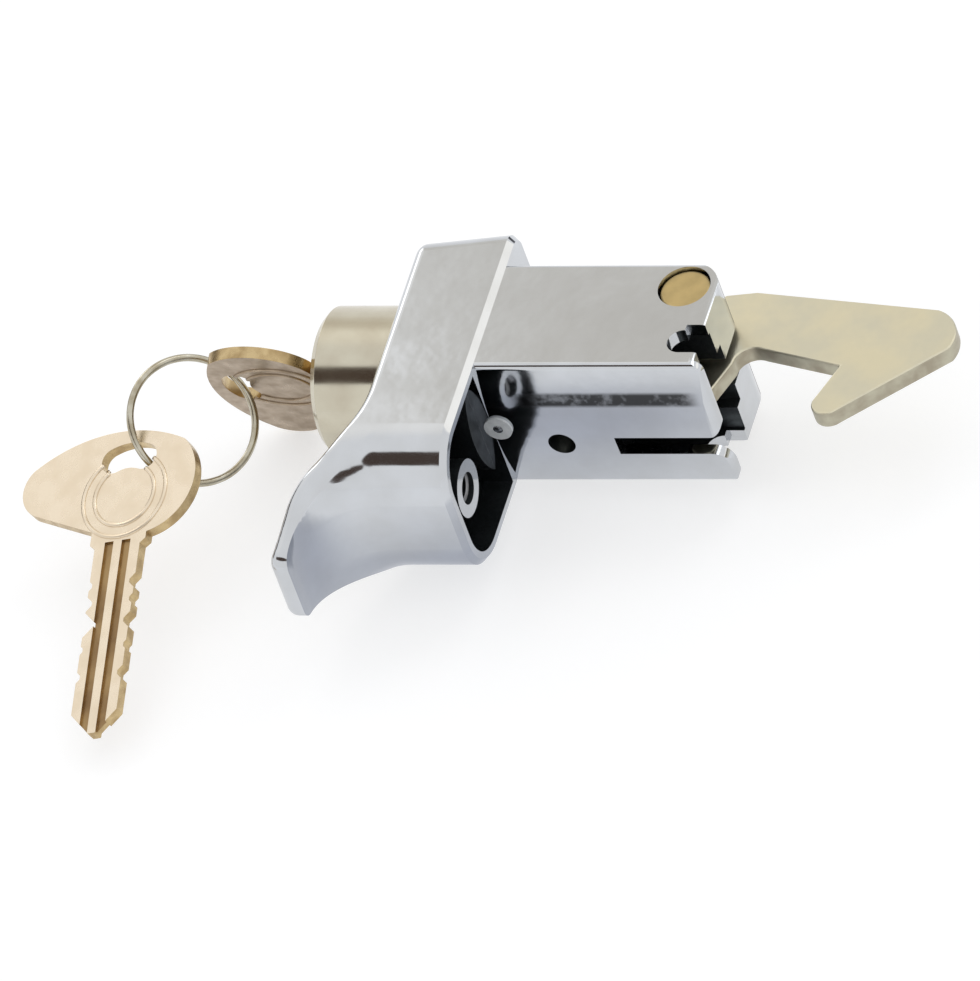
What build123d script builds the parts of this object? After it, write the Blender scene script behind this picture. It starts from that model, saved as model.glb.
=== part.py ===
from build123d import *
from math import cos, radians, sin, sqrt
import os

# Engine lid lock: a die-cast pull handle and housing, a push button with a wafer lock,
# a sprung hook on a cross pin, and two keys on a wire ring. Millimetres.
# Y is the button's axis and points inward, X points to the pull lip, and the lock lies on its
# -Z side. The origin is on the button's axis, in the plane of the rim that sits on the lid.

# Handle cup and pull lip
rim_top = 19.7
rim_bottom = 30.5
cup_half_width = 13.6
cup_height = 15.6
cup_wall = 2.0
top_draft = 2.1
top_corner = 3.5
rim_corner = 9.0
rim_bevel = 0.9
ramp_start = 13.5
ramp_radius = 19.0
ramp_angle = 46.0
flare_radius = 12.0
lip_angle = 8.0
lip_reach = 43.7
lip_end_half_width = 6.2
lip_corner = 2.5
lip_shoulder_radius = 13.0
lip_shoulder_angle = 27.0
underside_to_top = 4.1
underside_radius = 11.4
outer_edge_radius = 1.8
underside_start = cup_height - underside_to_top
lip_taper_start = rim_bottom - rim_corner

# Tapped boss in the cup
boss_x = 22.3
boss_radius = 4.5
boss_set_back = 0.8
tap_drill_radius = 2.5
tap_depth = 11.0
rib_thickness = 2.0

# Housing block
block_back = 12.5
block_front = 10.0
block_crown = 1.0
block_half_width = 12.7
block_edge = 1.0
front_wall = 2.2
front_wall_round = 1.9
front_wall_excess = 1.2
side_wall = 2.2
back_corner = 5.5
front_corner = 2.0
chamber_gap = 1.0
chamber_to_hook_slot = 1.8
chamber_back = 1.8
hook_slot_half = 2.8
pivot_to_wall_end = 6.6
peep_radius = 2.15
peep_y = 10.2
peep_z = -3.4
face_slot_low = -5.8
face_slot_high = -2.1
face_slot_low_round = 3.0
face_slot_high_round = 2.2
notch_x = 3.9
notch_radius = 2.3
notch_depth = 4.1
notch_step = 1.1

# Push button, its barrel and its spring
running_clearance = 0.05
button_radius = 11.5
button_face = 28.3
button_head = 16.3
button_bevel = 1.0
button_bore_depth = 11.6
bore_tube_wall = 1.9
barrel_radius = 8.0
button_travel = 4.0
button_wire_radius = 0.5
button_spring_radius = 9.7
button_spring_turns = 2.8
stop_pin_radius = 0.75
stop_pin_y = 1.0
stop_pin_z = 0.3
stop_pin_depth = 1.4
stop_pin_recess = 0.7
stop_groove_depth = 1.6
stop_pad_radius = 2.2
stop_pad_height = 0.4

# Plug, wafers, clip and pusher
plug_radius = 5.0
flange_radius = 6.5
flange_thickness = 1.5
blade_to_plug_end = 4.1
plug_end_to_barrel_end = 6.2
rear_recess_depth = 8.0
rear_recess_radius = 6.6
clip_thickness = 0.8
clip_groove_radius = 4.0
clip_radius = 6.3
clip_gap = 0.15
stub_width = 5.0
stub_length = 2.8
key_tilt = 22.0
wafer_count = 5
wafer_pitch = 3.2
wafer_first = -22.0
wafer_thickness = 1.0
wafer_width = 6.4
wafer_gap = 0.1
pusher_thickness = 2.6
finger_centre = 4.4
finger_width = 2.8
finger_gap = 0.3
screw_head_radius = 2.6
screw_head_height = 1.6
screw_shank_radius = 1.5
screw_length = 5.2

# Hook, pivot pin, washer and spring
pivot_x = -7.5
pin_radius = 3.0
pin_head_radius = 4.0
pin_head_height = 2.0
pin_recess = 0.6
pin_tail_recess = 0.5
pin_counterbore_radius = 4.15
hook_thickness = 3.0
heel_radius = 8.0
tail_reach = 6.3
tail_drop = 2.0
tail_corner = 1.6
tail_height = 5.6
chamber_to_tail = 8.9
washer_radius = 6.0
washer_thickness = 1.1
hook_wire_radius = 0.45
hook_spring_radius = 3.95
hook_spring_z = 2.15

# Keys
key_thickness = 1.9
blade_width = 8.0
blade_length = 33.0
neck_width = 9.8
neck_length = 0.2
blade_slack = 0.15
shoulder_gap = 1.0
hole_to_shoulder = 14.7
bow_top = 4.3
bow_long_side = 18.3
bow_short_side = 12.0
emblem_distance = 6.8
slot_half_angle = 23.0
slot_width = 4.3
groove_width = 1.5
groove_depth = 0.45
groove_spacing = 1.5

# Key ring: it passes through both keys at these points and leans to this normal
ring_radius = 9.88
ring_wire_radius = 0.58
ring_normal = Vector(0.340, 0.596, 0.726)
spare_hole = Vector(16.425, -56.82, 0.499)
spare_tip_direction = Vector(0.9661, 0.0580, -0.2576)
spare_width_direction = Vector(-0.0067, 0.9812, 0.1918)
spare_ring_offset = 1.9

# Hook outline, measured from the pivot: X to the claw's side, Y to the nose
heel_top_x = -8.9
heel_top_y = 1.6
arm_back_x = -9.5
arm_back_y = 6.3
nose_back_x = -5.7
nose_back_y = 36.5
nose_mid_x = -1.9
nose_mid_y = 40.2
nose_front_x = 2.4
nose_front_y = 40.1
claw_out_x = 15.1
claw_out_y = 25.2
claw_tip_x = 15.9
claw_tip_y = 22.7
claw_in_x = 13.1
claw_in_y = 20.8
throat_x = 5.9
throat_y = 23.4
arm_front_x = 2.4
arm_front_y = 10.2
tail_root_x = 2.7
tail_root_y = 7.3
tail_bend_x = 5.2
tail_bend_y = 6.1

# Places along the button's axis, from the blade's tip inward
plug_end = blade_length - shoulder_gap - button_face + blade_to_plug_end
stub_end = plug_end + stub_length
barrel_end = plug_end + plug_end_to_barrel_end
rear_recess_start = barrel_end - rear_recess_depth
chamber_start = barrel_end + button_travel + chamber_gap
hook_slot_start = chamber_start + chamber_to_hook_slot
tail_edge_y = chamber_start + chamber_to_tail
finger_end = tail_edge_y - finger_gap
pivot_y = tail_edge_y + tail_drop
front_wall_length = pivot_y + pivot_to_wall_end
block_length = front_wall_length - front_wall_excess
notch_y = front_wall_length - notch_depth


def box(x0, x1, y0, y1, z0, z1):
    centre = Pos((x0 + x1) / 2, (y0 + y1) / 2, (z0 + z1) / 2)
    return centre * Box(x1 - x0, y1 - y0, z1 - z0)


def rod_y(radius, y0, y1, x=0, z=0):
    return Pos(x, (y0 + y1) / 2, z) * Rot(90, 0, 0) * Cylinder(radius, y1 - y0)


def rod_x(radius, x0, x1, y, z):
    return Pos((x0 + x1) / 2, y, z) * Rot(0, 90, 0) * Cylinder(radius, x1 - x0)


def rod_z(radius, z0, z1, x, y):
    return Pos(x, y, (z0 + z1) / 2) * Cylinder(radius, z1 - z0)


def handle_shell():
    """The handle's outer form: side profile crossed with plan outline, less the finger space."""
    top_rear = (-rim_top, 0)
    top_front = (-rim_top + top_draft, -cup_height)
    flat_end = (ramp_start, -cup_height)
    ramp = JernArc(flat_end, (1, 0), ramp_radius, -ramp_angle)
    flare = JernArc(ramp @ 1, ramp % 1, flare_radius, ramp_angle - lip_angle)
    lip_run = (lip_reach - (flare @ 1).X) / cos(radians(lip_angle))
    lip_tip = flare @ 1 + Vector(lip_run, 0).rotate(Axis.Z, -lip_angle)
    side = make_face([Line(top_rear, top_front), Line(top_front, flat_end), ramp, flare,
                      Line(flare @ 1, lip_tip), Line(lip_tip, (lip_reach, 0)),
                      Line((lip_reach, 0), top_rear)])
    depth = -lip_tip.Y + 1
    half = cup_half_width
    end_half = lip_end_half_width
    top_side = -rim_top - 1
    shoulder = JernArc((lip_taper_start, half), (1, 0), lip_shoulder_radius, -lip_shoulder_angle)
    taper = Wire([shoulder, TangentArc(shoulder @ 1, (lip_reach, end_half), tangent=shoulder % 1)])
    outline = [Line((top_side, -half), (top_side, half)),
               Line((top_side, half), (lip_taper_start, half)), taper,
               Line((lip_reach, end_half), (lip_reach, -end_half)), mirror(taper, Plane.XZ),
               Line((lip_taper_start, -half), (top_side, -half))]
    plan = Plane.XZ * make_face(outline)
    body = extrude(side, amount=half, both=True) & extrude(plan, amount=depth)
    ends = body.edges().filter_by(Axis.Y).sort_by(Axis.X)
    body = fillet(ends[-2:], lip_corner)
    tops = [e for e in body.edges() if e.center().X < -rim_top + top_draft
            and abs(e.tangent_at(0.5).Y) > 0.9]
    body = fillet(tops, top_corner)

    corner_x = rim_bottom - rim_corner
    corner_z = half - rim_corner
    low = -underside_start - underside_radius
    arc_end = rim_corner + underside_radius
    far = lip_reach
    finger = make_face([Line((rim_corner, 1), (rim_corner, -underside_start)),
                        JernArc((rim_corner, -underside_start), (0, -1), underside_radius, 90),
                        Line((arc_end, low), (far, low)), Line((far, low), (far, 1)),
                        Line((far, 1), (rim_corner, 1))])
    middle = Pos(corner_x, 0, -corner_z) * extrude(finger, amount=2 * corner_z)
    right = Pos(corner_x, 0, -corner_z) * revolve(finger, Axis.Y, 90)
    left = Pos(corner_x, 0, corner_z) * revolve(finger, Axis.Y, -90)
    body = body - middle - right - left

    outer = [e for e in body.edges() if e.center().Y < -cup_height + 1.5
             and (abs(e.center().Z) > 5 or e.center().X < -10 or e.center().X > lip_reach - 0.2)
             and (e.center().Y < low - 1 or e.center().X < rim_bottom)]
    body = fillet(outer, outer_edge_radius)
    rim = [e for e in body.edges() if abs(e.center().Y) < 0.01]
    return chamfer(rim, rim_bevel)


def cup_hollow():
    """The hollow behind the pull lip, open at the rim."""
    x0 = block_front
    x1 = rim_bottom - cup_wall
    half = cup_half_width - cup_wall
    hollow = box(x0, x1, -cup_height + cup_wall, 1, -half, half)
    corners = hollow.edges().filter_by(Axis.Y).sort_by(Axis.X)[-2:]
    return fillet(corners, rim_corner - cup_wall)


def housing_block():
    """The block behind the handle: cross-section, side profile and plan, crossed."""
    half = block_half_width
    side_x = block_front - block_crown
    section = make_face([ThreePointArc((side_x, -half), (block_front, 0), (side_x, half)),
                         Line((side_x, half), (-block_back, half)),
                         Line((-block_back, half), (-block_back, -half)),
                         Line((-block_back, -half), (side_x, -half))])
    section = fillet(section.vertices(), block_edge)
    start = button_bore_depth - cup_height
    length = front_wall_length - start
    prism = Pos(0, front_wall_length, 0) * extrude(Plane.XZ * section, amount=length)

    wall_x = block_front - front_wall
    far_x = block_front + 1
    corner_x = -block_back + back_corner
    round_x = block_front - front_wall_round
    round_y = front_wall_length - front_wall_round
    profile = make_face([Line((-block_back, start), (-block_back, block_length - back_corner)),
                         JernArc((-block_back, block_length - back_corner), (0, 1), back_corner, -90),
                         Line((corner_x, block_length), (wall_x, block_length)),
                         Line((wall_x, block_length), (wall_x, front_wall_length)),
                         Line((wall_x, front_wall_length), (round_x, front_wall_length)),
                         JernArc((round_x, front_wall_length), (1, 0), front_wall_round, -90),
                         Line((block_front, round_y), (far_x, round_y)),
                         Line((far_x, round_y), (far_x, start)),
                         Line((far_x, start), (-block_back, start))])
    side = make_face(Polyline((start, -half), (front_wall_length, -half), (front_wall_length, half),
                              (start, half), close=True))
    side = fillet(side.vertices().sort_by(Axis.X)[-2:], front_corner)
    side = extrude(Plane.YZ * side, amount=block_back + far_x, both=True)
    return prism & extrude(profile, amount=half, both=True) & side


def face_slot():
    """The slot in the front wall, its mouth rounded to both sides."""
    end = front_wall_length
    low = face_slot_low
    high = face_slot_high
    low_end = (end - face_slot_low_round, low)
    high_start = (end, high + face_slot_high_round)
    outline = [Line((chamber_start, low), low_end),
               JernArc(low_end, (1, 0), face_slot_low_round, -90),
               Line((end, low - face_slot_low_round), (end + 1, low - face_slot_low_round)),
               Line((end + 1, low - face_slot_low_round), (end + 1, high_start[1])),
               Line((end + 1, high_start[1]), high_start),
               JernArc(high_start, (0, -1), face_slot_high_round, -90),
               Line((end - face_slot_high_round, high), (chamber_start, high)),
               Line((chamber_start, high), (chamber_start, low))]
    plate = extrude(Plane.YZ * make_face(outline), amount=block_front + 1)
    return plate & box(block_front - front_wall - 1, block_front + 1, 0, end + 2,
                       -block_half_width, block_half_width)


def handle_housing():
    """One casting: handle, housing block, bores, chamber, hook slot, notches and tapped boss."""
    bore_end = button_bore_depth - cup_height
    wall_x = block_front - front_wall
    tube_end = bore_end + bore_tube_wall
    tube = rod_y(button_radius + bore_tube_wall, -cup_height + cup_wall, tube_end)
    tube &= box(-block_back, rim_bottom, -cup_height, tube_end, -block_half_width, block_half_width)
    pad = rod_x(stop_pad_radius, wall_x, block_front + stop_pad_height, stop_pin_y, stop_pin_z)
    boss = rod_y(boss_radius, -cup_height + cup_wall, -boss_set_back, boss_x)
    rib = box(boss_x, rim_bottom - cup_wall / 2, -cup_height + cup_wall, -2 * boss_set_back,
              -rib_thickness / 2, rib_thickness / 2)
    body = handle_shell() - cup_hollow() + housing_block() + tube + boss + rib + pad

    body -= rod_y(button_radius + running_clearance, -cup_height - 1, bore_end)
    body -= rod_y(barrel_radius + running_clearance, bore_end - 1, chamber_start)
    inner = block_half_width - side_wall
    open_end = front_wall_length + 1
    body -= box(0, wall_x, chamber_start - 1, open_end, -inner, inner)
    body -= box(-chamber_back, 1, chamber_start - 1, open_end, -barrel_radius + 2, barrel_radius - 2)
    body -= box(-block_back - 1, 1, hook_slot_start, open_end, -hook_slot_half, hook_slot_half)
    body -= rod_y(tap_drill_radius, -boss_set_back - tap_depth, 0, boss_x)

    deep = block_half_width + 1
    body -= rod_z(pin_radius + running_clearance / 2, -deep, deep, pivot_x, pivot_y)
    head_floor = block_half_width - pin_recess - pin_head_height - 0.1
    body -= rod_z(pin_counterbore_radius, head_floor, deep, pivot_x, pivot_y)
    body -= rod_x(peep_radius, 0, block_front + 1, peep_y, peep_z)
    body -= face_slot()
    body -= rod_z(notch_radius, -deep, deep, notch_x, notch_y)
    body -= box(notch_x - notch_radius, notch_x + notch_radius, notch_y, open_end, -deep, deep)
    body -= box(notch_x - notch_radius - notch_step, notch_x, notch_y, open_end, -deep, deep)
    body -= rod_x(stop_pin_radius + running_clearance / 2, 0, block_front + 5, stop_pin_y, stop_pin_z)
    return body


def button_sleeve():
    """Button head and barrel in one turned piece, bored for the plug."""
    shoulder = -button_face + button_head
    head = rod_y(button_radius, -button_face, shoulder)
    head = chamfer(head.edges().sort_by(Axis.Y)[0], button_bevel)
    body = head + rod_y(barrel_radius, shoulder - 1, barrel_end)
    body -= rod_y(plug_radius + running_clearance, -button_face - 1, rear_recess_start + 1)
    body -= rod_y(flange_radius + running_clearance, -button_face - 1,
                  -button_face + flange_thickness + 0.1)
    body -= rod_y(rear_recess_radius, rear_recess_start, barrel_end + 1)
    groove_y0 = stop_pin_y - stop_pin_radius - button_travel - 2 * running_clearance
    groove_y1 = stop_pin_y + stop_pin_radius + 2 * running_clearance
    half = stop_pin_radius + running_clearance
    return body - box(barrel_radius - stop_groove_depth, barrel_radius + 1, groove_y0, groove_y1,
                      stop_pin_z - half, stop_pin_z + half)


def key_slope():
    """Turns a piece made with its width along X to the way the inserted key stands."""
    return Rot(0, 90 + key_tilt, 0)


def wafer_places():
    return [wafer_first + i * wafer_pitch for i in range(wafer_count)]


def cylinder_plug():
    """The plug: flanged, slotted for the key and the wafers, grooved for its clip."""
    body = rod_y(plug_radius, -button_face, plug_end)
    body += rod_y(flange_radius, -button_face, -button_face + flange_thickness)
    clip_y = rear_recess_start + clip_gap
    groove = rod_y(plug_radius + 1, clip_y - 0.05, clip_y + clip_thickness + 0.05)
    body -= groove - rod_y(clip_groove_radius, clip_y - 1, clip_y + 2)
    half = stub_width / 2
    stub = box(-half, half, plug_end - 1, stub_end, -half, half)
    stub -= rod_y(screw_shank_radius, stub_end - screw_length, stub_end + 1)
    body -= rod_y(screw_shank_radius, stub_end - screw_length, stub_end + 1)
    tip = -button_face - shoulder_gap + blade_length
    slot_x = blade_width / 2 + blade_slack
    slot_z = key_thickness / 2 + blade_slack
    cuts = box(-slot_x, slot_x, -button_face - 1, tip + 0.5, -slot_z, slot_z)
    wafer_z = wafer_width / 2 + wafer_gap
    for y in wafer_places():
        cuts += box(-plug_radius - 1, plug_radius + 1, y - wafer_thickness / 2 - wafer_gap,
                    y + wafer_thickness / 2 + wafer_gap, -wafer_z, wafer_z)
    return body - key_slope() * cuts + stub


def wafer(y):
    """One lock wafer, drawn flush with the plug by the key in its window."""
    half_z = wafer_width / 2
    half_y = wafer_thickness / 2
    plate = box(-plug_radius, plug_radius, y - half_y, y + half_y, -half_z, half_z)
    plate &= rod_y(plug_radius - wafer_gap, y - 1, y + 1)
    slot_x = blade_width / 2 + blade_slack
    slot_z = key_thickness / 2 + blade_slack
    return key_slope() * (plate - box(-slot_x, slot_x, y - 1, y + 1, -slot_z, slot_z))


def plug_clip():
    """Open retaining ring in the plug's rear groove."""
    y0 = rear_recess_start + clip_gap
    ring = rod_y(clip_radius, y0, y0 + clip_thickness)
    ring -= rod_y(clip_groove_radius + running_clearance, y0 - 1, y0 + 2)
    half = clip_groove_radius - 0.5
    return ring - box(-half, half, y0 - 1, y0 + 2, 0, clip_radius + 1)


def pusher():
    """Disc on the plug's square end, with the off-centre finger that moves the hook."""
    y0 = stub_end - pusher_thickness - 0.1
    disc = rod_y(clip_radius, y0, stub_end - 0.1)
    half = finger_width / 2
    round_y = finger_end - half
    finger = box(finger_centre - half, finger_centre + half, stub_end - 0.2, round_y, -half, half)
    finger += rod_z(half, -half, half, finger_centre, round_y)
    hole = stub_width / 2 + running_clearance
    return disc + finger - box(-hole, hole, y0 - 1, stub_end, -hole, hole)


def pusher_screw():
    """Screw that holds the pusher on the plug's stub."""
    head = rod_y(screw_head_radius, stub_end + 0.05, stub_end + screw_head_height)
    shank = rod_y(screw_shank_radius - running_clearance / 2, stub_end - screw_length + 0.3,
                  stub_end + 0.1)
    driver = box(-screw_head_radius, screw_head_radius, stub_end + screw_head_height - 0.7,
                 stub_end + screw_head_height + 1, -0.35, 0.35)
    return head + shank - driver


def button_spring():
    """Return spring round the barrel, between the button's shoulder and the bore's floor."""
    start = -button_face + button_head + button_wire_radius + 0.1
    end = button_bore_depth - cup_height - button_wire_radius - 0.1
    pitch = (end - start) / button_spring_turns
    path = Helix(pitch, end - start, button_spring_radius)
    section = Plane(path @ 0, z_dir=path % 0) * RegularPolygon(button_wire_radius, 8)
    return Pos(0, start, 0) * Rot(-90, 0, 0) * sweep(section, path)


def button_stop_pin():
    """Cross pin that keeps the button in, riding in the barrel's groove."""
    depth = barrel_radius - stop_pin_depth
    return rod_x(stop_pin_radius, depth, block_front - stop_pin_recess, stop_pin_y, stop_pin_z)


def from_pivot(x, y):
    return pivot_x + x, pivot_y + y


def hook_outline():
    """The hook's flat outline: heel round the pivot, arm, claw, and the tail that is pushed."""
    heel_back = from_pivot(-heel_radius, 0)
    heel_low = from_pivot(0, -heel_radius)
    heel_side = from_pivot(-heel_radius * cos(radians(40)), -heel_radius * sin(radians(40)))
    heel_turn = from_pivot(heel_radius * cos(radians(45)), -heel_radius * sin(radians(45)))
    heel_top = from_pivot(heel_top_x, heel_top_y)
    tail_start = from_pivot(sqrt(heel_radius ** 2 - tail_drop ** 2), -tail_drop)
    arm_back = from_pivot(arm_back_x, arm_back_y)
    nose_back = from_pivot(nose_back_x, nose_back_y)
    nose_mid = from_pivot(nose_mid_x, nose_mid_y)
    nose_front = from_pivot(nose_front_x, nose_front_y)
    claw_out = from_pivot(claw_out_x, claw_out_y)
    claw_tip = from_pivot(claw_tip_x, claw_tip_y)
    claw_in = from_pivot(claw_in_x, claw_in_y)
    throat = from_pivot(throat_x, throat_y)
    arm_front = from_pivot(arm_front_x, arm_front_y)
    tail_root = from_pivot(tail_root_x, tail_root_y)
    tail_bend = from_pivot(tail_bend_x, tail_bend_y)
    tail_top = (tail_reach - tail_corner, tail_edge_y + tail_height)
    tail_end = (tail_reach, tail_edge_y + tail_corner)
    tail_low = (tail_reach - tail_corner, tail_edge_y)
    return [ThreePointArc(heel_low, heel_side, heel_back), Line(heel_back, heel_top),
            Line(heel_top, arm_back), Line(arm_back, nose_back),
            ThreePointArc(nose_back, nose_mid, nose_front), Line(nose_front, claw_out),
            ThreePointArc(claw_out, claw_tip, claw_in), Line(claw_in, throat),
            Line(throat, arm_front), ThreePointArc(arm_front, tail_root, tail_bend),
            Line(tail_bend, tail_top), Line(tail_top, tail_end), Line(tail_end, tail_low),
            Line(tail_low, tail_start), ThreePointArc(tail_start, heel_turn, heel_low)]


def hook_lever():
    plate = extrude(make_face(hook_outline()), amount=hook_thickness / 2, both=True)
    return plate - rod_z(pin_radius + running_clearance, -hook_thickness, hook_thickness,
                         pivot_x, pivot_y)


def pivot_pin():
    """Headed pin that carries the hook, sunk in the housing's side."""
    top = block_half_width - pin_recess
    head = rod_z(pin_head_radius, top - pin_head_height, top, pivot_x, pivot_y)
    shank = rod_z(pin_radius, -block_half_width + pin_tail_recess, top - 1, pivot_x, pivot_y)
    return chamfer(head.edges().sort_by(Axis.Z)[-1], 0.3) + shank


def pivot_washer():
    z1 = -hook_thickness / 2 - running_clearance
    ring = rod_z(washer_radius, z1 - washer_thickness, z1, pivot_x, pivot_y)
    return ring - rod_z(pin_radius + 2 * running_clearance, z1 - 3, z1 + 1, pivot_x, pivot_y)


def hook_spring():
    """Torsion spring round the pin: one leg on the slot's floor, one along the hook."""
    right = (pivot_x + hook_spring_radius, pivot_y, hook_spring_z)
    top = (pivot_x, pivot_y + hook_spring_radius, hook_spring_z)
    left = (pivot_x - hook_spring_radius, pivot_y, hook_spring_z)
    foot = (right[0], hook_slot_start + hook_wire_radius + 0.1, hook_spring_z)
    arm = (left[0], left[1] - 1, hook_spring_z)
    path = Wire([Line(foot, right), ThreePointArc(right, top, left), Line(left, arm)])
    section = Plane(path @ 0, z_dir=path % 0) * Circle(hook_wire_radius)
    return sweep(section, path)


def blade_outline(cuts):
    """Blade outline from shoulder to tip, with its notches (place, depth) on each edge."""
    half = blade_width / 2
    point = blade_length - half * 0.9
    right = [(neck_width / 2, -2), (neck_width / 2, neck_length), (half, neck_length + 0.7)]
    left = [(-x, y) for x, y in right]
    for place, deep_right, deep_left in cuts:
        right += [(half, place - deep_right - 0.3), (half - deep_right, place - 0.3),
                  (half - deep_right, place + 0.3), (half, place + deep_right + 0.3)]
        left += [(-half, place - deep_left - 0.3), (-half + deep_left, place - 0.3),
                 (-half + deep_left, place + 0.3), (-half, place + deep_left + 0.3)]
    right += [(half, point)]
    left += [(-half, point)]
    return right + [(0.6, blade_length), (-0.6, blade_length)] + left[::-1]


def key(cuts):
    """A key lying flat: tip along +Y, shoulder at Y = 0, width along X, thickness about Z = 0."""
    hole_y = -hole_to_shoulder
    long_top = (bow_long_side - 1.5, hole_y + 0.2)
    long_end = (bow_long_side, hole_y + 4.5)
    long_low = (bow_long_side - 3.1, hole_y + 8.3)
    neck_long = (neck_width / 2, hole_y + 12.6)
    neck_short = (-neck_width / 2, hole_y + 13.8)
    short_end = (-bow_short_side + 0.3, hole_y + 7.9)
    short_top = (-bow_short_side + 2.5, hole_y - 1.5)
    crown = (0, hole_y - bow_top)
    bow = make_face([ThreePointArc(long_top, long_end, long_low), Line(long_low, neck_long),
                     Line(neck_long, neck_short), ThreePointArc(neck_short, short_end, short_top),
                     ThreePointArc(short_top, crown, long_top)])
    slot_centre = (0, hole_y + emblem_distance)
    slot = SlotArc(CenterArc(slot_centre, emblem_distance, -90 - slot_half_angle,
                             2 * slot_half_angle), slot_width)
    flat = bow + make_face(Polyline(blade_outline(cuts), close=True)) - slot
    solid = extrude(flat, amount=key_thickness / 2, both=True)
    for side in (1, -1):
        z0 = side * (key_thickness / 2 - groove_depth)
        z1 = side * key_thickness
        for x in (groove_spacing, -groove_spacing):
            solid -= box(x - groove_width / 2, x + groove_width / 2, 0, blade_length + 1,
                         min(z0, z1), max(z0, z1))
    return solid


def key_in_lock():
    cuts = [(place + button_face + shoulder_gap, deep, 1.4 - deep)
            for place, deep in zip(wafer_places(), (0.5, 0.9, 0.4, 1.0, 0.6))]
    return Pos(0, -button_face - shoulder_gap, 0) * key_slope() * key(cuts)


def spare_key():
    cuts = [(7.3, 0.5, 0.9), (10.4, 0.9, 0.5), (14.0, 1.8, 1.0), (18.3, 0.4, 0.4),
            (23.0, 0.6, 0.8)]
    plane = Plane(spare_hole, x_dir=-spare_width_direction,
                  z_dir=(-spare_width_direction).cross(spare_tip_direction))
    return plane.location * Pos(0, hole_to_shoulder, 0) * key(cuts)


def ring_centre():
    """Centre of the ring through the inserted key's hole and the spare key's hole."""
    first = Vector(0, -button_face - shoulder_gap - hole_to_shoulder, 0)
    second = spare_hole + spare_width_direction * spare_ring_offset
    chord = second - first
    height = sqrt(ring_radius ** 2 - (chord.length / 2) ** 2)
    return (first + second) * 0.5 + ring_normal.cross(chord).normalized() * height


def key_ring():
    plane = Plane(ring_centre(), z_dir=ring_normal)
    return plane.location * Torus(ring_radius, ring_wire_radius)


pieces = {
    "handle_housing": handle_housing,
    "button_sleeve": button_sleeve,
    "cylinder_plug": cylinder_plug,
    "plug_clip": plug_clip,
    "pusher": pusher,
    "pusher_screw": pusher_screw,
    "button_spring": button_spring,
    "button_stop_pin": button_stop_pin,
    "hook_lever": hook_lever,
    "pivot_pin": pivot_pin,
    "pivot_washer": pivot_washer,
    "hook_spring": hook_spring,
    "key_in_lock": key_in_lock,
    "spare_key": spare_key,
    "key_ring": key_ring,
}

os.makedirs("parts", exist_ok=True)
for name, make in pieces.items():
    export_step(make(), f"parts/{name}.step")
for number, place in enumerate(wafer_places(), 1):
    export_step(wafer(place), f"parts/wafer_{number}.step")
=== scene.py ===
import math

import bpy
from mathutils import Matrix, Quaternion, Vector


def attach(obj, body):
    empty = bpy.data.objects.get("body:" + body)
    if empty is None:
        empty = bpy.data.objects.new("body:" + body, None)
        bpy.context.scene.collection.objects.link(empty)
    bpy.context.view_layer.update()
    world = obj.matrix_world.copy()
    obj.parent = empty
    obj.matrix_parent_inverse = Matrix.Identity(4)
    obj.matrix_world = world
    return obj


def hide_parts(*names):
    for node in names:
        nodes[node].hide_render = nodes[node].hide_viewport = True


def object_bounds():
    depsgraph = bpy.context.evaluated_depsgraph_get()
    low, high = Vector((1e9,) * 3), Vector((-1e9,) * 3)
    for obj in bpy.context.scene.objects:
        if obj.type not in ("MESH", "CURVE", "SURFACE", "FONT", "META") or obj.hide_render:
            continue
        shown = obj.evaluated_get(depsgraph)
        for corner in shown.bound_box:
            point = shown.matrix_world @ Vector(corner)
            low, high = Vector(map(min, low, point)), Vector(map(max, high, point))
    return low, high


# Engine lid lock, lying on its side as in the photograph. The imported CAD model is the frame:
# metres, Y along the button's axis, X to the pull lip, Z up.
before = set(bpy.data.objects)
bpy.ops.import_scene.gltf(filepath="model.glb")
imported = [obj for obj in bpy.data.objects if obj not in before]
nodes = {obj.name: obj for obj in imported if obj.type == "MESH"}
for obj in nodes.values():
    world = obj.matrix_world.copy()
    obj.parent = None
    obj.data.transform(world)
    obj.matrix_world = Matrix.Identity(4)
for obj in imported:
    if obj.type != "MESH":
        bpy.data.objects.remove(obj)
cad_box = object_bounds()
MM = 0.001

# Table and studio. The floor touches the lowest point of the lock, which is the bow of the key in
# the plug. Cards out of the camera's sight give the chrome its darker bands and its soft light.
FLOOR_SIZE = 8.0
FLOOR_GAP = 0.05 * MM


def new_material(name):
    """A material, its nodes and its main shader."""
    material = bpy.data.materials.new(name)
    material.use_nodes = True
    return material, material.node_tree, material.node_tree.nodes["Principled BSDF"]


def add_node(tree, kind, links=None, **values):
    """Adds a shader node, sets its options and sockets, and links outputs to its inputs."""
    node = tree.nodes.new(kind)
    for key, value in values.items():
        if hasattr(node, key):
            setattr(node, key, value)
        else:
            node.inputs[key.replace("_", " ")].default_value = value
    for socket, source in (links or {}).items():
        tree.links.new(source, node.inputs[socket])
    return node


def white_to_camera(tree, shader, emission, output):
    """Mixes a shader with a plain white for camera, mirror and glass rays."""
    path = add_node(tree, "ShaderNodeLightPath")
    seen = add_node(tree, "ShaderNodeMath", {0: path.outputs["Is Camera Ray"],
                                             1: path.outputs["Is Glossy Ray"]},
                    operation="MAXIMUM")
    seen = add_node(tree, "ShaderNodeMath", {0: seen.outputs[0],
                                             1: path.outputs["Is Transmission Ray"]},
                    operation="MAXIMUM")
    mix = add_node(tree, "ShaderNodeMixShader", {0: seen.outputs[0], 1: shader, 2: emission})
    tree.links.new(mix.outputs[0], output)


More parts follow.
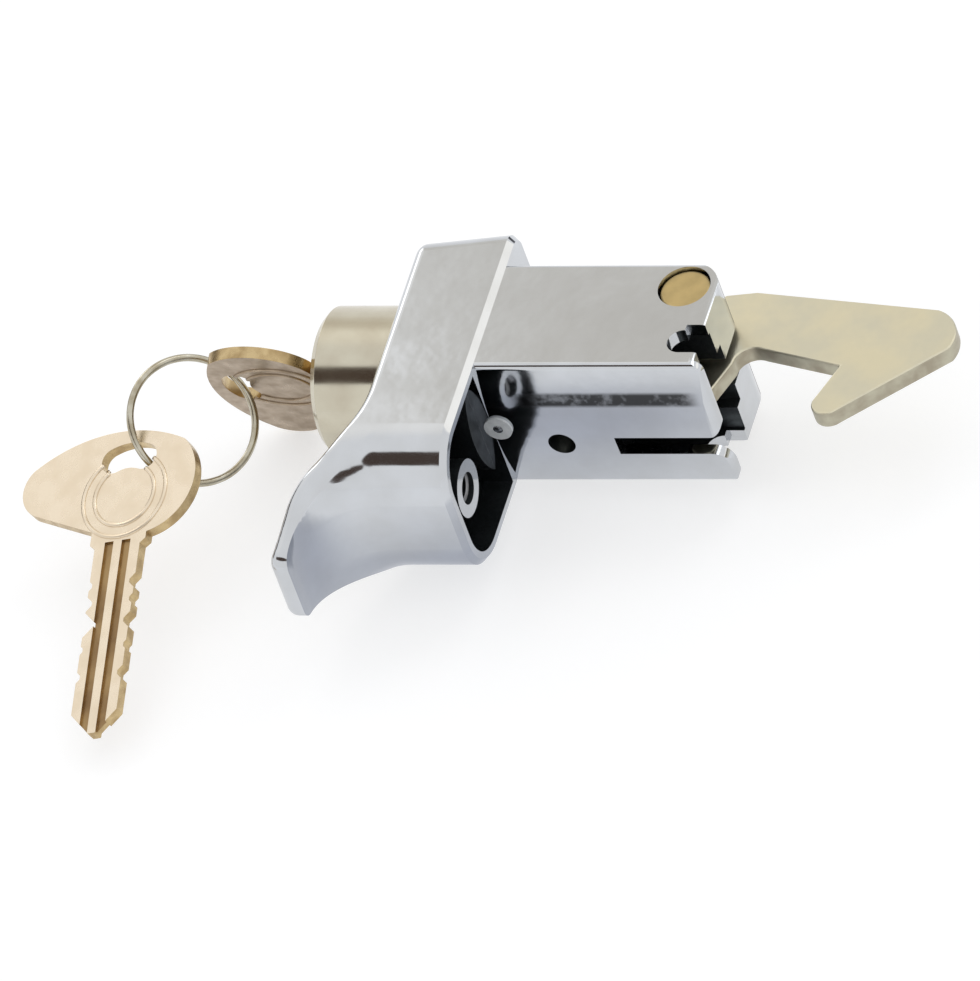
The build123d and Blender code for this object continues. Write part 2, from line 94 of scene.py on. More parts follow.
world = bpy.data.worlds.new("studio_air")
bpy.context.scene.world = world
world.use_nodes = True
air = world.node_tree
air_soft = add_node(air, "ShaderNodeBackground", Color=(0.97, 0.98, 1.0, 1), Strength=0.85)
air_white = add_node(air, "ShaderNodeBackground", Color=(1, 1, 1, 1), Strength=1.0)
white_to_camera(air, air_soft.outputs[0], air_white.outputs[0],
                air.nodes["World Output"].inputs["Surface"])

bpy.ops.object.select_all(action="DESELECT")
bpy.ops.mesh.primitive_plane_add(size=FLOOR_SIZE, location=(0, 0, cad_box[0].z - FLOOR_GAP))
floor = bpy.context.object
floor.name = "table_top"
paper, tree, bsdf = new_material("white_paper")
bsdf.inputs["Base Color"].default_value = (0.82, 0.82, 0.82, 1)
bsdf.inputs["Roughness"].default_value = 0.9
bsdf.inputs["Specular IOR Level"].default_value = 0.1
glow = add_node(tree, "ShaderNodeEmission", Color=(1, 1, 1, 1), Strength=0.58)
lit = add_node(tree, "ShaderNodeBsdfDiffuse", Color=(0.5, 0.5, 0.5, 1))
both = add_node(tree, "ShaderNodeAddShader", {0: glow.outputs[0], 1: lit.outputs[0]})
white_to_camera(tree, bsdf.outputs[0], both.outputs[0],
                tree.nodes["Material Output"].inputs["Surface"])
floor.data.materials.append(paper)


def from_lock(azimuth, elevation):
    """Direction from the lock, in degrees from +X towards +Y and up from the table."""
    side, rise = math.radians(azimuth), math.radians(elevation)
    return Vector((math.cos(rise) * math.cos(side), math.cos(rise) * math.sin(side),
                   math.sin(rise)))


# The cloudy card is brighter towards this side, where the handle's outer end mirrors it.
BRIGHT_WAY = (0.492, -0.870, 0)
BRIGHT_FROM, BRIGHT_TO = 5 * MM, 25 * MM


def studio_card(name, centre, facing, size, colour, fade=0.25, roll=0, clouds=None):
    """A card that only reflections show and that fades out towards its border.

    Clouds are their size, their colour and the colour of the card's bright side.
    """
    bpy.ops.object.select_all(action="DESELECT")
    bpy.ops.mesh.primitive_plane_add(size=1)
    card = bpy.context.object
    card.name = name
    card.scale = (size[0], size[1], 1)
    card.location = centre
    card.rotation_mode = "QUATERNION"
    card.rotation_quaternion = (facing.to_track_quat("Z", "Y")
                                @ Quaternion((0, 0, 1), math.radians(roll)))
    bpy.ops.object.transform_apply(location=True, rotation=True, scale=True)
    material, tree, bsdf = new_material(name + "_face")
    glow = add_node(tree, "ShaderNodeEmission", Color=(*colour, 1), Strength=1.0)
    clear = add_node(tree, "ShaderNodeBsdfTransparent")
    spread = add_node(tree, "ShaderNodeMapping", {
        "Vector": add_node(tree, "ShaderNodeTexCoord").outputs["UV"]},
        Location=(-1, -1, 0), Scale=(2, 2, 1))
    to_border = add_node(tree, "ShaderNodeTexGradient", {"Vector": spread.outputs["Vector"]},
                         gradient_type="SPHERICAL")
    inside = add_node(tree, "ShaderNodeMapRange", {"Value": to_border.outputs["Fac"]},
                      interpolation_type="SMOOTHSTEP", From_Min=0.0, From_Max=fade)
    face = add_node(tree, "ShaderNodeMixShader", {0: inside.outputs["Result"],
                                                  1: clear.outputs[0], 2: glow.outputs[0]})
    if clouds:
        place = add_node(tree, "ShaderNodeTexCoord").outputs["Object"]
        noise = add_node(tree, "ShaderNodeTexNoise", {"Vector": place}, Scale=1 / clouds[0],
                         Detail=3.0)
        cloudy = add_node(tree, "ShaderNodeMapRange", {"Value": noise.outputs["Fac"]},
                          From_Min=0.35, From_Max=0.65)
        sky = add_node(tree, "ShaderNodeMix", {"Factor": cloudy.outputs["Result"]},
                       data_type="RGBA")
        sky.inputs["A"].default_value = (*colour, 1)
        sky.inputs["B"].default_value = (*clouds[1], 1)
        along = add_node(tree, "ShaderNodeVectorMath", {0: place}, operation="DOT_PRODUCT")
        along.inputs[1].default_value = BRIGHT_WAY
        end = add_node(tree, "ShaderNodeMapRange", {"Value": along.outputs["Value"]},
                       interpolation_type="SMOOTHSTEP", From_Min=BRIGHT_FROM,
                       From_Max=BRIGHT_TO)
        bright = add_node(tree, "ShaderNodeMix", {"Factor": end.outputs["Result"]},
                          data_type="RGBA")
        tree.links.new(sky.outputs["Result"], bright.inputs["A"])
        bright.inputs["B"].default_value = (*clouds[2], 1)
        tree.links.new(bright.outputs["Result"], glow.inputs["Color"])
    tree.links.new(face.outputs[0], tree.nodes["Material Output"].inputs["Surface"])
    card.data.materials.append(material)
    card.visible_camera = False
    card.visible_diffuse = False
    card.visible_shadow = False


# Directions in degrees, sizes in metres, and how far each card is rolled in its own plane.
DARK = (0.085, 0.062, 0.052)
for name, azimuth, elevation, size, colour, roll in (
        ("camera_card", -33, 50, (0.74, 0.46), DARK, 0),
        ("person_card", 20, 29, (1.15, 0.27), DARK, 38),
        ("corner_card", -62, 42, (0.5, 0.32), DARK, 0),
        ("key_side_card", -109, 7, (0.6, 0.36), (0.13, 0.11, 0.10), 0),
        ("back_side_card", 167, 5, (0.9, 0.3), (0.12, 0.12, 0.13), 0)):
    towards = from_lock(azimuth, elevation)
    studio_card(name, towards, -towards, size, colour, roll=roll)
ceiling_way = from_lock(-150.5, 43)
studio_card("ceiling_card", ceiling_way, -ceiling_way, (1.8, 1.3), (0.90, 0.87, 0.81), fade=0.7,
            clouds=(45 * MM, (0.75, 0.71, 0.64), (1.15, 1.13, 1.09)))
rim_way = from_lock(133, 21)
studio_card("rim_card", rim_way, -rim_way, (0.5, 0.4), (1.4, 1.36, 1.28))
SHADE_CENTRE = Vector((31 * MM, 2 * MM, cad_box[0].z + 0.1 * MM))
studio_card("table_shade", SHADE_CENTRE, Vector((0, 0, 1)), (56 * MM, 92 * MM),
            (0.58, 0.60, 0.66), fade=0.9)


def area_lamp(name, towards, size, radiance, colour):
    """A soft lamp one metre away, as bright as radiance where a mirror shows it."""
    data = bpy.data.lights.new(name, "AREA")
    data.shape = "RECTANGLE"
    data.size, data.size_y = size
    data.energy = radiance * math.pi * size[0] * size[1]
    data.color = colour
    lamp = bpy.data.objects.new(name, data)
    bpy.context.collection.objects.link(lamp)
    lamp.location = towards
    lamp.rotation_mode = "QUATERNION"
    lamp.rotation_quaternion = (-towards).to_track_quat("-Z", "Y")
    return lamp


# The window lights the lock but isn't mirrored, so that no hard patch lies on the chrome.
window = area_lamp("window", from_lock(-138, 63), (0.5, 0.3), 1.1, (1.0, 0.98, 0.94))
window.visible_glossy = False
area_lamp("edge_light", from_lock(-134, 18), (0.4, 0.3), 1.35, (1.0, 0.98, 0.95))
area_lamp("room_fill", from_lock(150, 55), (0.4, 0.35), 1.2, (0.94, 0.97, 1.0))

# Camera: long lens, so that lines stay parallel as in the photograph.
VIEW_RIGHT = Vector((-0.2464, 0.9325, -0.2642))
VIEW_BACK = Vector((0.6380, 0.3610, 0.6800))
VIEW_TARGET = Vector((12.86, -2.72, -10.56)) * MM
LENS = 900.0
SENSOR = 36.0
FIELD = 148.6 * MM

camera_data = bpy.data.cameras.new("camera")
camera_data.lens = LENS
camera_data.sensor_width = SENSOR
camera_data.clip_start = 0.05
camera_data.clip_end = 20
camera = bpy.data.objects.new("camera", camera_data)
bpy.context.collection.objects.link(camera)
view_back = VIEW_BACK.normalized()
view_right = (VIEW_RIGHT - view_back * VIEW_RIGHT.dot(view_back)).normalized()
view_up = view_back.cross(view_right)
camera.matrix_world = Matrix((
    (view_right.x, view_up.x, view_back.x, 0),
    (view_right.y, view_up.y, view_back.y, 0),
    (view_right.z, view_up.z, view_back.z, 0),
    (0, 0, 0, 1)))
camera.location = VIEW_TARGET + view_back * (FIELD * LENS / SENSOR)
bpy.context.scene.camera = camera
bpy.context.scene.view_settings.view_transform = "Standard"

# Handle and housing: one zinc die casting, polished and chromed. The edges are rolled by the
# polishing wheel, most on the lip where the fingers go, and the flat sides keep a faint ripple.
HANDLE_EDGE = 0.35 * MM
LIP_EDGE = 1.1 * MM
SAME_POINT = 0.002 * MM
FLAT_ANGLE = math.radians(1.0)
EDGE_ANGLE = math.radians(28)


def open_merged(piece):
    """Opens a piece in edit mode, with its doubles and flat seams gone."""
    bpy.ops.object.select_all(action="DESELECT")
    piece.select_set(True)
    bpy.context.view_layer.objects.active = piece
    bpy.ops.object.mode_set(mode="EDIT")
    bpy.ops.mesh.select_all(action="SELECT")
    bpy.ops.mesh.remove_doubles(threshold=SAME_POINT)
    bpy.ops.mesh.dissolve_limited(angle_limit=FLAT_ANGLE)


def soften(piece, edge_radius, segments=3, edge_angle=EDGE_ANGLE):
    """Rolls the sharp edges of a piece and smooths its shading."""
    open_merged(piece)
    bpy.ops.object.mode_set(mode="OBJECT")
    bevel = piece.modifiers.new("rolled_edges", "BEVEL")
    bevel.width = edge_radius
    bevel.segments = segments
    bevel.limit_method = "ANGLE"
    bevel.angle_limit = edge_angle
    bevel.use_clamp_overlap = True
    bpy.ops.object.modifier_apply(modifier=bevel.name)
    bpy.ops.object.shade_smooth_by_angle(angle=EDGE_ANGLE)
    weighted = piece.modifiers.new("even_faces", "WEIGHTED_NORMAL")
    weighted.keep_sharp = True
    weighted.weight = 80
    bpy.ops.object.modifier_apply(modifier=weighted.name)


def roll_edges(piece, radius, segments, chosen):
    """Rolls the sharp edges that chosen picks by their middle, in mm."""
    open_merged(piece)
    bpy.ops.mesh.select_mode(type="EDGE")
    bpy.ops.mesh.select_all(action="DESELECT")
    bpy.ops.mesh.edges_select_sharp(sharpness=EDGE_ANGLE)
    bpy.ops.object.mode_set(mode="OBJECT")
    points = piece.data.vertices
    for edge in piece.data.edges:
        middle = (points[edge.vertices[0]].co + points[edge.vertices[1]].co) / (2 * MM)
        edge.select = edge.select and chosen(middle)
    bpy.ops.object.mode_set(mode="EDIT")
    bpy.ops.mesh.bevel(offset=radius, segments=segments, affect="EDGES", clamp_overlap=True)
    bpy.ops.object.mode_set(mode="OBJECT")


def cad_copy(node, name, body, material):
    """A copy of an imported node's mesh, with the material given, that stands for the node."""
    piece = nodes[node].copy()
    piece.data = nodes[node].data.copy()
    piece.name = name
    piece.data.name = name
    bpy.context.collection.objects.link(piece)
    piece.parent = None
    piece.matrix_world = Matrix.Identity(4)
    bpy.ops.object.select_all(action="DESELECT")
    piece.select_set(True)
    bpy.context.view_layer.objects.active = piece
    bpy.ops.mesh.customdata_custom_splitnormals_clear()
    piece.data.materials.clear()
    piece.data.materials.append(material)
    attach(piece, body)
    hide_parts(node)
    return piece


def place_on_object(tree):
    """The coordinates of the piece itself."""
    return add_node(tree, "ShaderNodeTexCoord").outputs["Object"]


def plated_metal(name, colour, dark, roughness, patch, ripple, grain):
    """Metal with slow patches of colour and gloss, a slow ripple and a fine grain.

    Sizes are in mm: patch is how wide the patches are, ripple and grain how high they stand.
    """
    material, tree, bsdf = new_material(name)
    place = place_on_object(tree)
    bsdf.inputs["Metallic"].default_value = 1.0
    slow = add_node(tree, "ShaderNodeTexNoise", {"Vector": place}, Scale=1 / (patch * MM),
                    Detail=3.0, Roughness=0.5)
    spread = add_node(tree, "ShaderNodeMapRange", {"Value": slow.outputs["Fac"]},
                      From_Min=0.35, From_Max=0.65)
    tint = add_node(tree, "ShaderNodeMix", {"Factor": spread.outputs["Result"]},
                    data_type="RGBA")
    tint.inputs["A"].default_value = (*colour, 1)
    tint.inputs["B"].default_value = (*dark, 1)
    tree.links.new(tint.outputs["Result"], bsdf.inputs["Base Color"])
    gloss = add_node(tree, "ShaderNodeMapRange", {"Value": slow.outputs["Fac"]},
                     From_Min=0.3, From_Max=0.7, To_Min=roughness[0], To_Max=roughness[1])
    tree.links.new(gloss.outputs["Result"], bsdf.inputs["Roughness"])
    fine = add_node(tree, "ShaderNodeTexNoise", {"Vector": place}, Scale=1 / (0.5 * MM),
                    Detail=2.0, Roughness=0.5)
    low = add_node(tree, "ShaderNodeBump", {"Height": slow.outputs["Fac"]}, Strength=1.0,
                   Distance=ripple * MM)
    high = add_node(tree, "ShaderNodeBump", {"Height": fine.outputs["Fac"],
                                             "Normal": low.outputs["Normal"]},
                    Strength=1.0, Distance=grain * MM)
    tree.links.new(high.outputs["Normal"], bsdf.inputs["Normal"])
    return material


def paint_faces(piece, material, chosen):
    """Gives the faces that chosen picks, by centre in mm and normal, a finish of their own."""
    piece.data.materials.append(material)
    slot = len(piece.data.materials) - 1
    for face in piece.data.polygons:
        if chosen(face.center / MM, face.normal):
            face.material_index = slot


# Places on the casting, in mm: the cup's corner arcs and the radius between the cup's two skins,
# the chamber of the mechanism, the peep hole, and the pad of the stop pin on the front wall.
CORNER_X, CORNER_Z = 21.5, 4.6
CORNER_BETWEEN = 8.0
CUP_BACK = 10.3
CUP_FLOOR, CUP_MOUTH = -13.7, -0.4
BOSS_X = 22.3
BOSS_RADIUS = 4.5
BOSS_FOOT = -2
CHAMBER_HALF = 10.6
CHAMBER_BACK, WALL_INSIDE = -10.8, 7.9
CHAMBER_START, CHAMBER_END = -15, 35
PEEP_Y, PEEP_Z, PEEP_RADIUS = 10.2, -3.4, 2.3
PAD_Y, PAD_Z, PAD_RADIUS = 1.0, 0.3, 2.35
PAD_TOP = 12
WALL_FACE = 9.9
LIP_START = 27
LIP_HALF_FLAT = 5
LIP_TOP = -8
LIP_HOLLOW_Y, LIP_HOLLOW_X = -18.5, 30
LIP_SLOPE = 0.5


def on_lip_edge(middle):
    """The edge of the lip's hollow side, where the fingers go."""
    outer_side = LIP_HOLLOW_Y - LIP_SLOPE * (middle.x - LIP_HOLLOW_X)
    return (middle.x > LIP_START and abs(middle.z) > LIP_HALF_FLAT
            and outer_side < middle.y < LIP_TOP)


def in_recess(place, normal):
    """Inside the cup, the chamber or the peep hole, where plating is thin and dull, and painted
    shade makes the metal near black.
    """
    boss = math.hypot(place.x - BOSS_X, place.z) < BOSS_RADIUS and place.y > BOSS_FOOT
    from_corner = math.hypot(max(place.x - CORNER_X, 0), max(abs(place.z) - CORNER_Z, 0))
    cup = (place.x > CUP_BACK and CUP_FLOOR < place.y < CUP_MOUTH
           and from_corner < CORNER_BETWEEN and not boss)
    chamber = (CHAMBER_BACK < place.x < WALL_INSIDE and CHAMBER_START < place.y < CHAMBER_END
               and abs(place.z) < CHAMBER_HALF)
    peep = (place.x < WALL_FACE + 0.1 and abs(normal.x) < 0.5
            and math.hypot(place.y - PEEP_Y, place.z - PEEP_Z) < PEEP_RADIUS)
    return cup or chamber or peep


chrome = plated_metal("polished_chrome", (0.60, 0.62, 0.65), (0.555, 0.57, 0.59), (0.06, 0.13),
                      8, 0.05, 0.0006)
# Duller plating, and painted shade: a near-black colour for the recesses, where shade falls.
dull_and_shaded_recess = plated_metal("dull_and_shaded_recess", (0.075, 0.085, 0.09), (0.045, 0.05, 0.055),
                            (0.38, 0.55), 3, 0.05, 0.02)
ground_face = plated_metal("ground_face", (0.74, 0.76, 0.77), (0.60, 0.62, 0.63),
                           (0.45, 0.55), 1.5, 0.01, 0.01)
ground_face.node_tree.nodes["Principled BSDF"].inputs["Metallic"].default_value = 0.2


def between(tree, value, low, high, soft):
    """One where a coordinate in metres lies between two places, with soft ends."""
    rise = add_node(tree, "ShaderNodeMapRange", {"Value": value}, interpolation_type="SMOOTHSTEP",
                    From_Min=(low - soft) * MM, From_Max=(low + soft) * MM)
    fall = add_node(tree, "ShaderNodeMapRange", {"Value": value}, interpolation_type="SMOOTHSTEP",
                    From_Min=(high - soft) * MM, From_Max=(high + soft) * MM, To_Min=1, To_Max=0)
    return add_node(tree, "ShaderNodeMath", {0: rise.outputs["Result"],
                                             1: fall.outputs["Result"]},
                    operation="MULTIPLY").outputs[0]


# The front wall has a dark strip along its upper part, a painted reflection of the lock's shade
# on the table, mottled at its edges. Its reach along each axis is in mm, with how soft its ends
# are.
REFLECTION_MOTTLE_SIZE = 2.2 * MM
PAINTED_REFLECTION_REACH = (("X", 9.0, 11.0, 0.3), ("Y", 5.0, 33.8, 1.6), ("Z", 4.7, 7.3, 0.45))
tree = chrome.node_tree
bsdf = tree.nodes["Principled BSDF"]
axes = add_node(tree, "ShaderNodeSeparateXYZ", {"Vector": place_on_object(tree)})
reflection_mottle = add_node(tree, "ShaderNodeTexNoise", {"Vector": place_on_object(tree)},
                Scale=1 / REFLECTION_MOTTLE_SIZE, Detail=4.0, Roughness=0.6)
mask = add_node(tree, "ShaderNodeMapRange", {"Value": reflection_mottle.outputs["Fac"]}, From_Min=0.36,
                From_Max=0.52, To_Min=0.62, To_Max=0.96).outputs["Result"]
for axis, low, high, soft in PAINTED_REFLECTION_REACH:
    reach = between(tree, axes.outputs[axis], low, high, soft)
    mask = add_node(tree, "ShaderNodeMath", {0: mask, 1: reach}, operation="MULTIPLY").outputs[0]
clean_colour = bsdf.inputs["Base Color"].links[0].from_socket
clean_gloss = bsdf.inputs["Roughness"].links[0].from_socket
# Painted reflection: the dark strip is mixed into the chrome's own colour.
painted_reflection = add_node(tree, "ShaderNodeMix", {"Factor": mask}, data_type="RGBA")
tree.links.new(clean_colour, painted_reflection.inputs["A"])
painted_reflection.inputs["B"].default_value = (0.045, 0.045, 0.045, 1)
tree.links.new(painted_reflection.outputs["Result"], bsdf.inputs["Base Color"])
rough = add_node(tree, "ShaderNodeMath", {0: mask, 1: clean_gloss, 2: clean_gloss},
                 operation="MULTIPLY_ADD")
tree.links.new(rough.outputs[0], bsdf.inputs["Roughness"])
handle = cad_copy("handle_housing", "handle_and_housing", "housing", chrome)
roll_edges(handle, LIP_EDGE, segments=4, chosen=on_lip_edge)
soften(handle, HANDLE_EDGE)
# The faces inside the recesses get the dull plating with painted shade.
paint_faces(handle, dull_and_shaded_recess, in_recess)
paint_faces(handle, ground_face, lambda place, normal: WALL_FACE < place.x < PAD_TOP
            and math.hypot(place.y - PAD_Y, place.z - PAD_Z) < PAD_RADIUS)

# Thread in the boss: cut in the zinc with a tap, so it is duller than the chrome round it. It takes
# the screw that clamps the handle to the lid.
THREAD_PITCH = 1.0 * MM
THREAD_TURNS = 10
THREAD_RADIUS = 2.45 * MM
THREAD_PROFILE = 0.42 * MM
THREAD_BOTTOM = -11.3 * MM

bpy.ops.object.select_all(action="DESELECT")
bpy.ops.mesh.primitive_circle_add(vertices=3, radius=THREAD_PROFILE,
                                  rotation=(0, 0, math.radians(90)),
                                  location=(THREAD_RADIUS, THREAD_BOTTOM, 0))
thread = bpy.context.object
thread.name = thread.data.name = "boss_thread"
bpy.ops.object.transform_apply(location=True, rotation=True, scale=True)
coil = thread.modifiers.new("cut_by_the_tap", "SCREW")
coil.axis = "Y"
coil.screw_offset = THREAD_PITCH
coil.iterations = THREAD_TURNS
coil.steps = coil.render_steps = 24
bpy.ops.object.modifier_apply(modifier=coil.name)
thread.location = (BOSS_X * MM, 0, 0)
bpy.ops.object.transform_apply(location=True, rotation=True, scale=True)
bpy.ops.object.mode_set(mode="EDIT")
bpy.ops.mesh.select_all(action="SELECT")
bpy.ops.mesh.remove_doubles(threshold=0.001 * MM)
bpy.ops.mesh.fill_holes(sides=0)
bpy.ops.mesh.normals_make_consistent(inside=False)
bpy.ops.object.mode_set(mode="OBJECT")
bpy.ops.object.shade_smooth_by_angle(angle=EDGE_ANGLE)
tapped = plated_metal("tapped_metal", (0.42, 0.42, 0.42), (0.3, 0.3, 0.31), (0.25, 0.4), 1.5,
                      0.01, 0.004)
thread.data.materials.append(tapped)
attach(thread, "housing")

# Push button: turned from bar, bored for the plug and nickel plated. It slides in the housing, and
# the turning marks run round it.
WAVE_PERIOD = 0.314
MARK_PITCH = 0.3 * MM
MARK_HEIGHT = 0.0012 * MM

nickel = plated_metal("turned_nickel", (0.59, 0.555, 0.45), (0.53, 0.485, 0.385), (0.13, 0.2),
                      6, 0.01, 0.001)
tree = nickel.node_tree
bsdf = tree.nodes["Principled BSDF"]
grain = bsdf.inputs["Normal"].links[0].from_socket
place = place_on_object(tree)
sides = add_node(tree, "ShaderNodeTexWave", {"Vector": place}, wave_type="BANDS",
                 bands_direction="Y", Scale=WAVE_PERIOD / MARK_PITCH)
ends = add_node(tree, "ShaderNodeTexWave", {"Vector": place}, wave_type="RINGS",
                rings_direction="Y", Scale=WAVE_PERIOD / MARK_PITCH)
marks = add_node(tree, "ShaderNodeMath", {0: sides.outputs["Fac"], 1: ends.outputs["Fac"]},
                 operation="ADD")
turned = add_node(tree, "ShaderNodeBump", {"Height": marks.outputs[0], "Normal": grain},
                  Strength=1.0, Distance=MARK_HEIGHT)
tree.links.new(turned.outputs["Normal"], bsdf.inputs["Normal"])
button = cad_copy("button_sleeve", "push_button", "button", nickel)
soften(button, 0.2 * MM)

# Keys: stamped from nickel silver sheet, with two plain raised rims on each side of the bow. The
# grooves are milled, and their floors are painted a darker brown. The key in the plug is painted
# darker than the spare one, as painted shade.
KEY_HALF_THICKNESS = 0.95
GROOVE_FLOOR = 0.5
RIM_CENTRE_Y = -7.9
RIM_RADII = (7.2, 5.2)
RIM_WIRE = 0.36
RIM_FLATNESS = 0.7
SLOT_OPENING = math.radians(37)
NEAR_FLOOR = 0.06
EDGE_LEAN, FACE_LEAN = 0.6, 0.9

# Where the keys lie in the CAD frame: the one in the plug is turned about the lock's axis, and
# the spare one hangs from the ring by its slot.
PLUG_KEY_COS, PLUG_KEY_SIN = -0.3746, 0.9272
PLUG_KEY_SHOULDER = -29.3 * MM
SPARE_HOLE = Vector((16.425, -56.82, 0.499)) * MM
HOLE_TO_SHOULDER = 14.7 * MM
spare_tip = Vector((0.9661, 0.0580, -0.2576)).normalized()
spare_side = -Vector((-0.0067, 0.9812, 0.1918)).normalized()
spare_face = spare_side.cross(spare_tip)
shoulder = SPARE_HOLE + spare_tip * HOLE_TO_SHOULDER
key_places = {
    "key_in_lock": Matrix(((PLUG_KEY_COS, 0, PLUG_KEY_SIN, 0), (0, 1, 0, PLUG_KEY_SHOULDER),
                           (-PLUG_KEY_SIN, 0, PLUG_KEY_COS, 0), (0, 0, 0, 1)))}
key_places["spare_key"] = Matrix((
    (spare_side.x, spare_tip.x, spare_face.x, shoulder.x),
    (spare_side.y, spare_tip.y, spare_face.y, shoulder.y),
    (spare_side.z, spare_tip.z, spare_face.z, shoulder.z),
    (0, 0, 0, 1)))


def delete_faces(piece, chosen):
    """Deletes the faces that chosen picks by centre and closes the mesh again."""
    bpy.ops.object.mode_set(mode="EDIT")
    bpy.ops.mesh.select_mode(type="FACE")
    bpy.ops.mesh.select_all(action="DESELECT")
    bpy.ops.object.mode_set(mode="OBJECT")
    for face in piece.data.polygons:
        face.select = chosen(face.center)
    bpy.ops.object.mode_set(mode="EDIT")
    bpy.ops.mesh.delete(type="FACE")
    bpy.ops.mesh.select_all(action="SELECT")
    bpy.ops.mesh.fill_holes(sides=0)
    bpy.ops.mesh.normals_make_consistent(inside=False)
    bpy.ops.object.mode_set(mode="OBJECT")


def raised_rim(radius):
    """A flat raised ring on a key's face, open where the bow's slot is."""
    bpy.ops.object.select_all(action="DESELECT")
    bpy.ops.mesh.primitive_torus_add(major_radius=radius * MM, minor_radius=RIM_WIRE * MM,
                                     major_segments=96, minor_segments=8)
    rim = bpy.context.object
    delete_faces(rim, lambda centre: abs(math.atan2(centre.x, -centre.y)) < SLOT_OPENING)
    rim.scale.z = RIM_FLATNESS
    rim.location = (0, RIM_CENTRE_Y * MM, KEY_HALF_THICKNESS * MM)
    bpy.ops.object.transform_apply(location=True, rotation=True, scale=True)
    bpy.ops.object.shade_smooth()
    return rim


def join_to(piece, *others):
    """Joins the others into a piece."""
    bpy.ops.object.select_all(action="DESELECT")
    for other in (piece, *others):
        other.select_set(True)
    bpy.context.view_layer.objects.active = piece
    bpy.ops.object.join()


rims = raised_rim(RIM_RADII[0])
join_to(rims, raised_rim(RIM_RADII[1]))
far_rims = rims.copy()
far_rims.data = rims.data.copy()
bpy.context.collection.objects.link(far_rims)
bpy.ops.object.select_all(action="DESELECT")
far_rims.select_set(True)
bpy.context.view_layer.objects.active = far_rims
far_rims.rotation_euler = (0, math.pi, 0)
bpy.ops.object.transform_apply(location=True, rotation=True, scale=True)
join_to(rims, far_rims)

spare_metal = plated_metal("nickel_silver", (0.82, 0.71, 0.56), (0.77, 0.655, 0.50),
                           (0.24, 0.32), 3.5, 0.02, 0.002)
# Painted shade: the key in the plug gets a darker copy of the spare key's metal.
shaded_key_metal = plated_metal("shaded_nickel_silver", (0.44, 0.355, 0.265), (0.33, 0.255, 0.18),
                          (0.26, 0.38), 2.2, 0.03, 0.003)
cut_metal = plated_metal("cut_nickel_silver", (0.60, 0.46, 0.25), (0.42, 0.30, 0.15),
                         (0.2, 0.34), 2.0, 0.01, 0.004)
# The floors of the grooves are painted a darker brown.
groove_metal = plated_metal("brown_groove_floor", (0.36, 0.24, 0.115), (0.24, 0.15, 0.075),
                            (0.3, 0.42), 5.0, 0.01, 0.003)
for node, name, body, metal in (("key_in_lock", "key_in_the_lock", "key", shaded_key_metal),
                                ("spare_key", "key_on_the_ring", "spare", spare_metal)):
    piece = cad_copy(node, name, body, metal)
    soften(piece, 0.2 * MM, segments=2)
    key_place = key_places[node]
    face_way = key_place.to_3x3() @ Vector((0, 0, 1))
    to_key = key_place.inverted()
    paint_faces(piece, cut_metal,
                lambda place, normal: abs(normal.dot(face_way)) < EDGE_LEAN)
    paint_faces(piece, groove_metal, lambda place, normal: (
        abs((to_key @ (place * MM)).z) < (GROOVE_FLOOR + NEAR_FLOOR) * MM
        and abs(normal.dot(face_way)) > FACE_LEAN))
    own_rims = rims.copy()
    own_rims.data = rims.data.copy()
    own_rims.data.materials.append(metal)
    bpy.context.collection.objects.link(own_rims)
    own_rims.data.transform(key_place)
    join_to(piece, own_rims)
bpy.data.objects.remove(rims, do_unlink=True)

# Hook: pressed from 3 mm steel plate and yellow passivated. The passivation has clouded, and the
# pressed edges are painted greyer and darker than the faces, as painted shade.
SHADED_EDGE_LEAN = 0.5
passivated = plated_metal("yellow_passivate", (0.72, 0.67, 0.50), (0.63, 0.60, 0.475),
                          (0.30, 0.42), 7, 0.05, 0.002)
shaded_hook_edge = plated_metal("shaded_hook_edge", (0.50, 0.475, 0.37), (0.38, 0.34, 0.26),
                            (0.3, 0.45), 3, 0.03, 0.006)
hook = cad_copy("hook_lever", "hook", "hook", passivated)
soften(hook, 0.35 * MM)
# Painted shade: the hook's edges get a darker, greyer copy of its finish.
paint_faces(hook, shaded_hook_edge, lambda place, normal: abs(normal.z) < SHADED_EDGE_LEAN)

# Pivot pin: headed steel pin in the same finish, yellower on its head. It is driven through the
# housing and carries the hook.
brassy = plated_metal("brassy_passivate", (0.56, 0.43, 0.205), (0.47, 0.36, 0.17), (0.28, 0.4),
                      2.5, 0.02, 0.002)
pin = cad_copy("pivot_pin", "hook_pin", "housing", brassy)
soften(pin, 0.25 * MM)

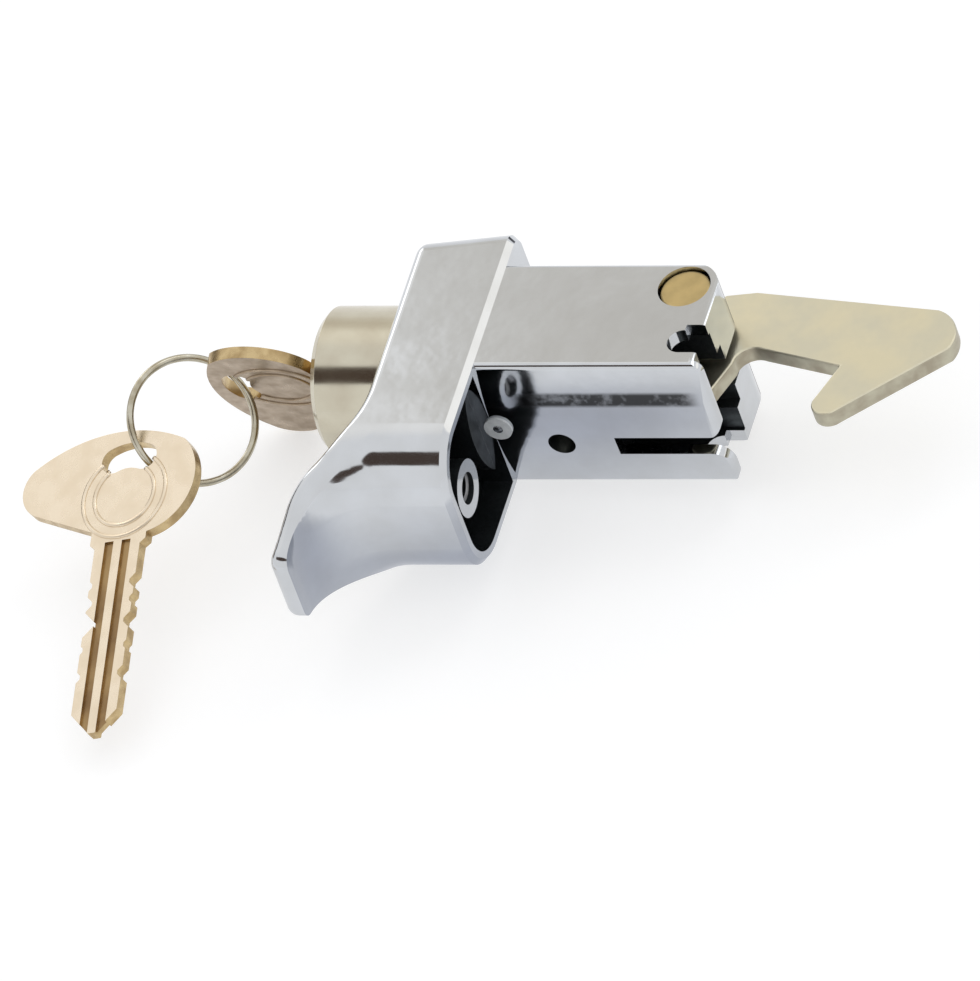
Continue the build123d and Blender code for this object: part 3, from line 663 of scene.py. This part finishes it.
# Key ring: plain spring wire, bent round until its two cut ends meet. It passes through the slots
# of both keys.
RING_CENTRE = Vector((8.328, -49.311, 0.238))
RING_NORMAL = Vector((0.340, 0.596, 0.726)).normalized()
RING_RADIUS = 9.88
RING_WIRE = 0.58
RING_SEGMENTS = 180
JOINT_ANGLE = math.radians(20)
DRESSED_EDGE = 0.12 * MM

bpy.ops.object.select_all(action="DESELECT")
bpy.ops.mesh.primitive_torus_add(major_radius=RING_RADIUS * MM, minor_radius=RING_WIRE * MM,
                                 major_segments=RING_SEGMENTS, minor_segments=16)
ring = bpy.context.object
ring.name = ring.data.name = "wire_ring"
half_gap = math.pi / RING_SEGMENTS
delete_faces(ring, lambda centre: abs(math.atan2(centre.y, centre.x) - JOINT_ANGLE) < half_gap)
rolled = ring.modifiers.new("dressed_ends", "BEVEL")
rolled.width = DRESSED_EDGE
rolled.segments = 2
rolled.limit_method = "ANGLE"
rolled.angle_limit = math.radians(60)
bpy.ops.object.modifier_apply(modifier=rolled.name)
ring.rotation_mode = "QUATERNION"
ring.rotation_quaternion = RING_NORMAL.to_track_quat("Z", "Y")
ring.location = RING_CENTRE * MM
bpy.ops.object.transform_apply(location=True, rotation=True, scale=True)
bpy.ops.object.shade_smooth_by_angle(angle=math.radians(40))
wire = plated_metal("ring_wire", (0.56, 0.53, 0.44), (0.40, 0.355, 0.26), (0.14, 0.28), 2.5,
                    0.01, 0.002)
ring.data.materials.append(wire)
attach(ring, "ring")
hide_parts("key_ring")

# Mechanism inside the housing: a brass plug with its wafers, and the steel clip, pusher, screw,
# springs, washer and stop pin round it. They keep their CAD meshes.
steel = plated_metal("bright_steel", (0.50, 0.50, 0.51), (0.40, 0.40, 0.41), (0.22, 0.35), 3,
                     0.01, 0.004)
brass = plated_metal("lock_brass", (0.62, 0.47, 0.24), (0.52, 0.38, 0.18), (0.2, 0.34), 3,
                     0.01, 0.004)
for node, material in {"cylinder_plug": brass, "plug_clip": steel, "pusher": steel,
                       "pusher_screw": steel, "button_spring": steel, "button_stop_pin": steel,
                       "pivot_washer": steel, "hook_spring": steel, "wafer_1": brass,
                       "wafer_2": brass, "wafer_3": brass, "wafer_4": brass,
                       "wafer_5": brass}.items():
    nodes[node].data.materials.clear()
    nodes[node].data.materials.append(material)
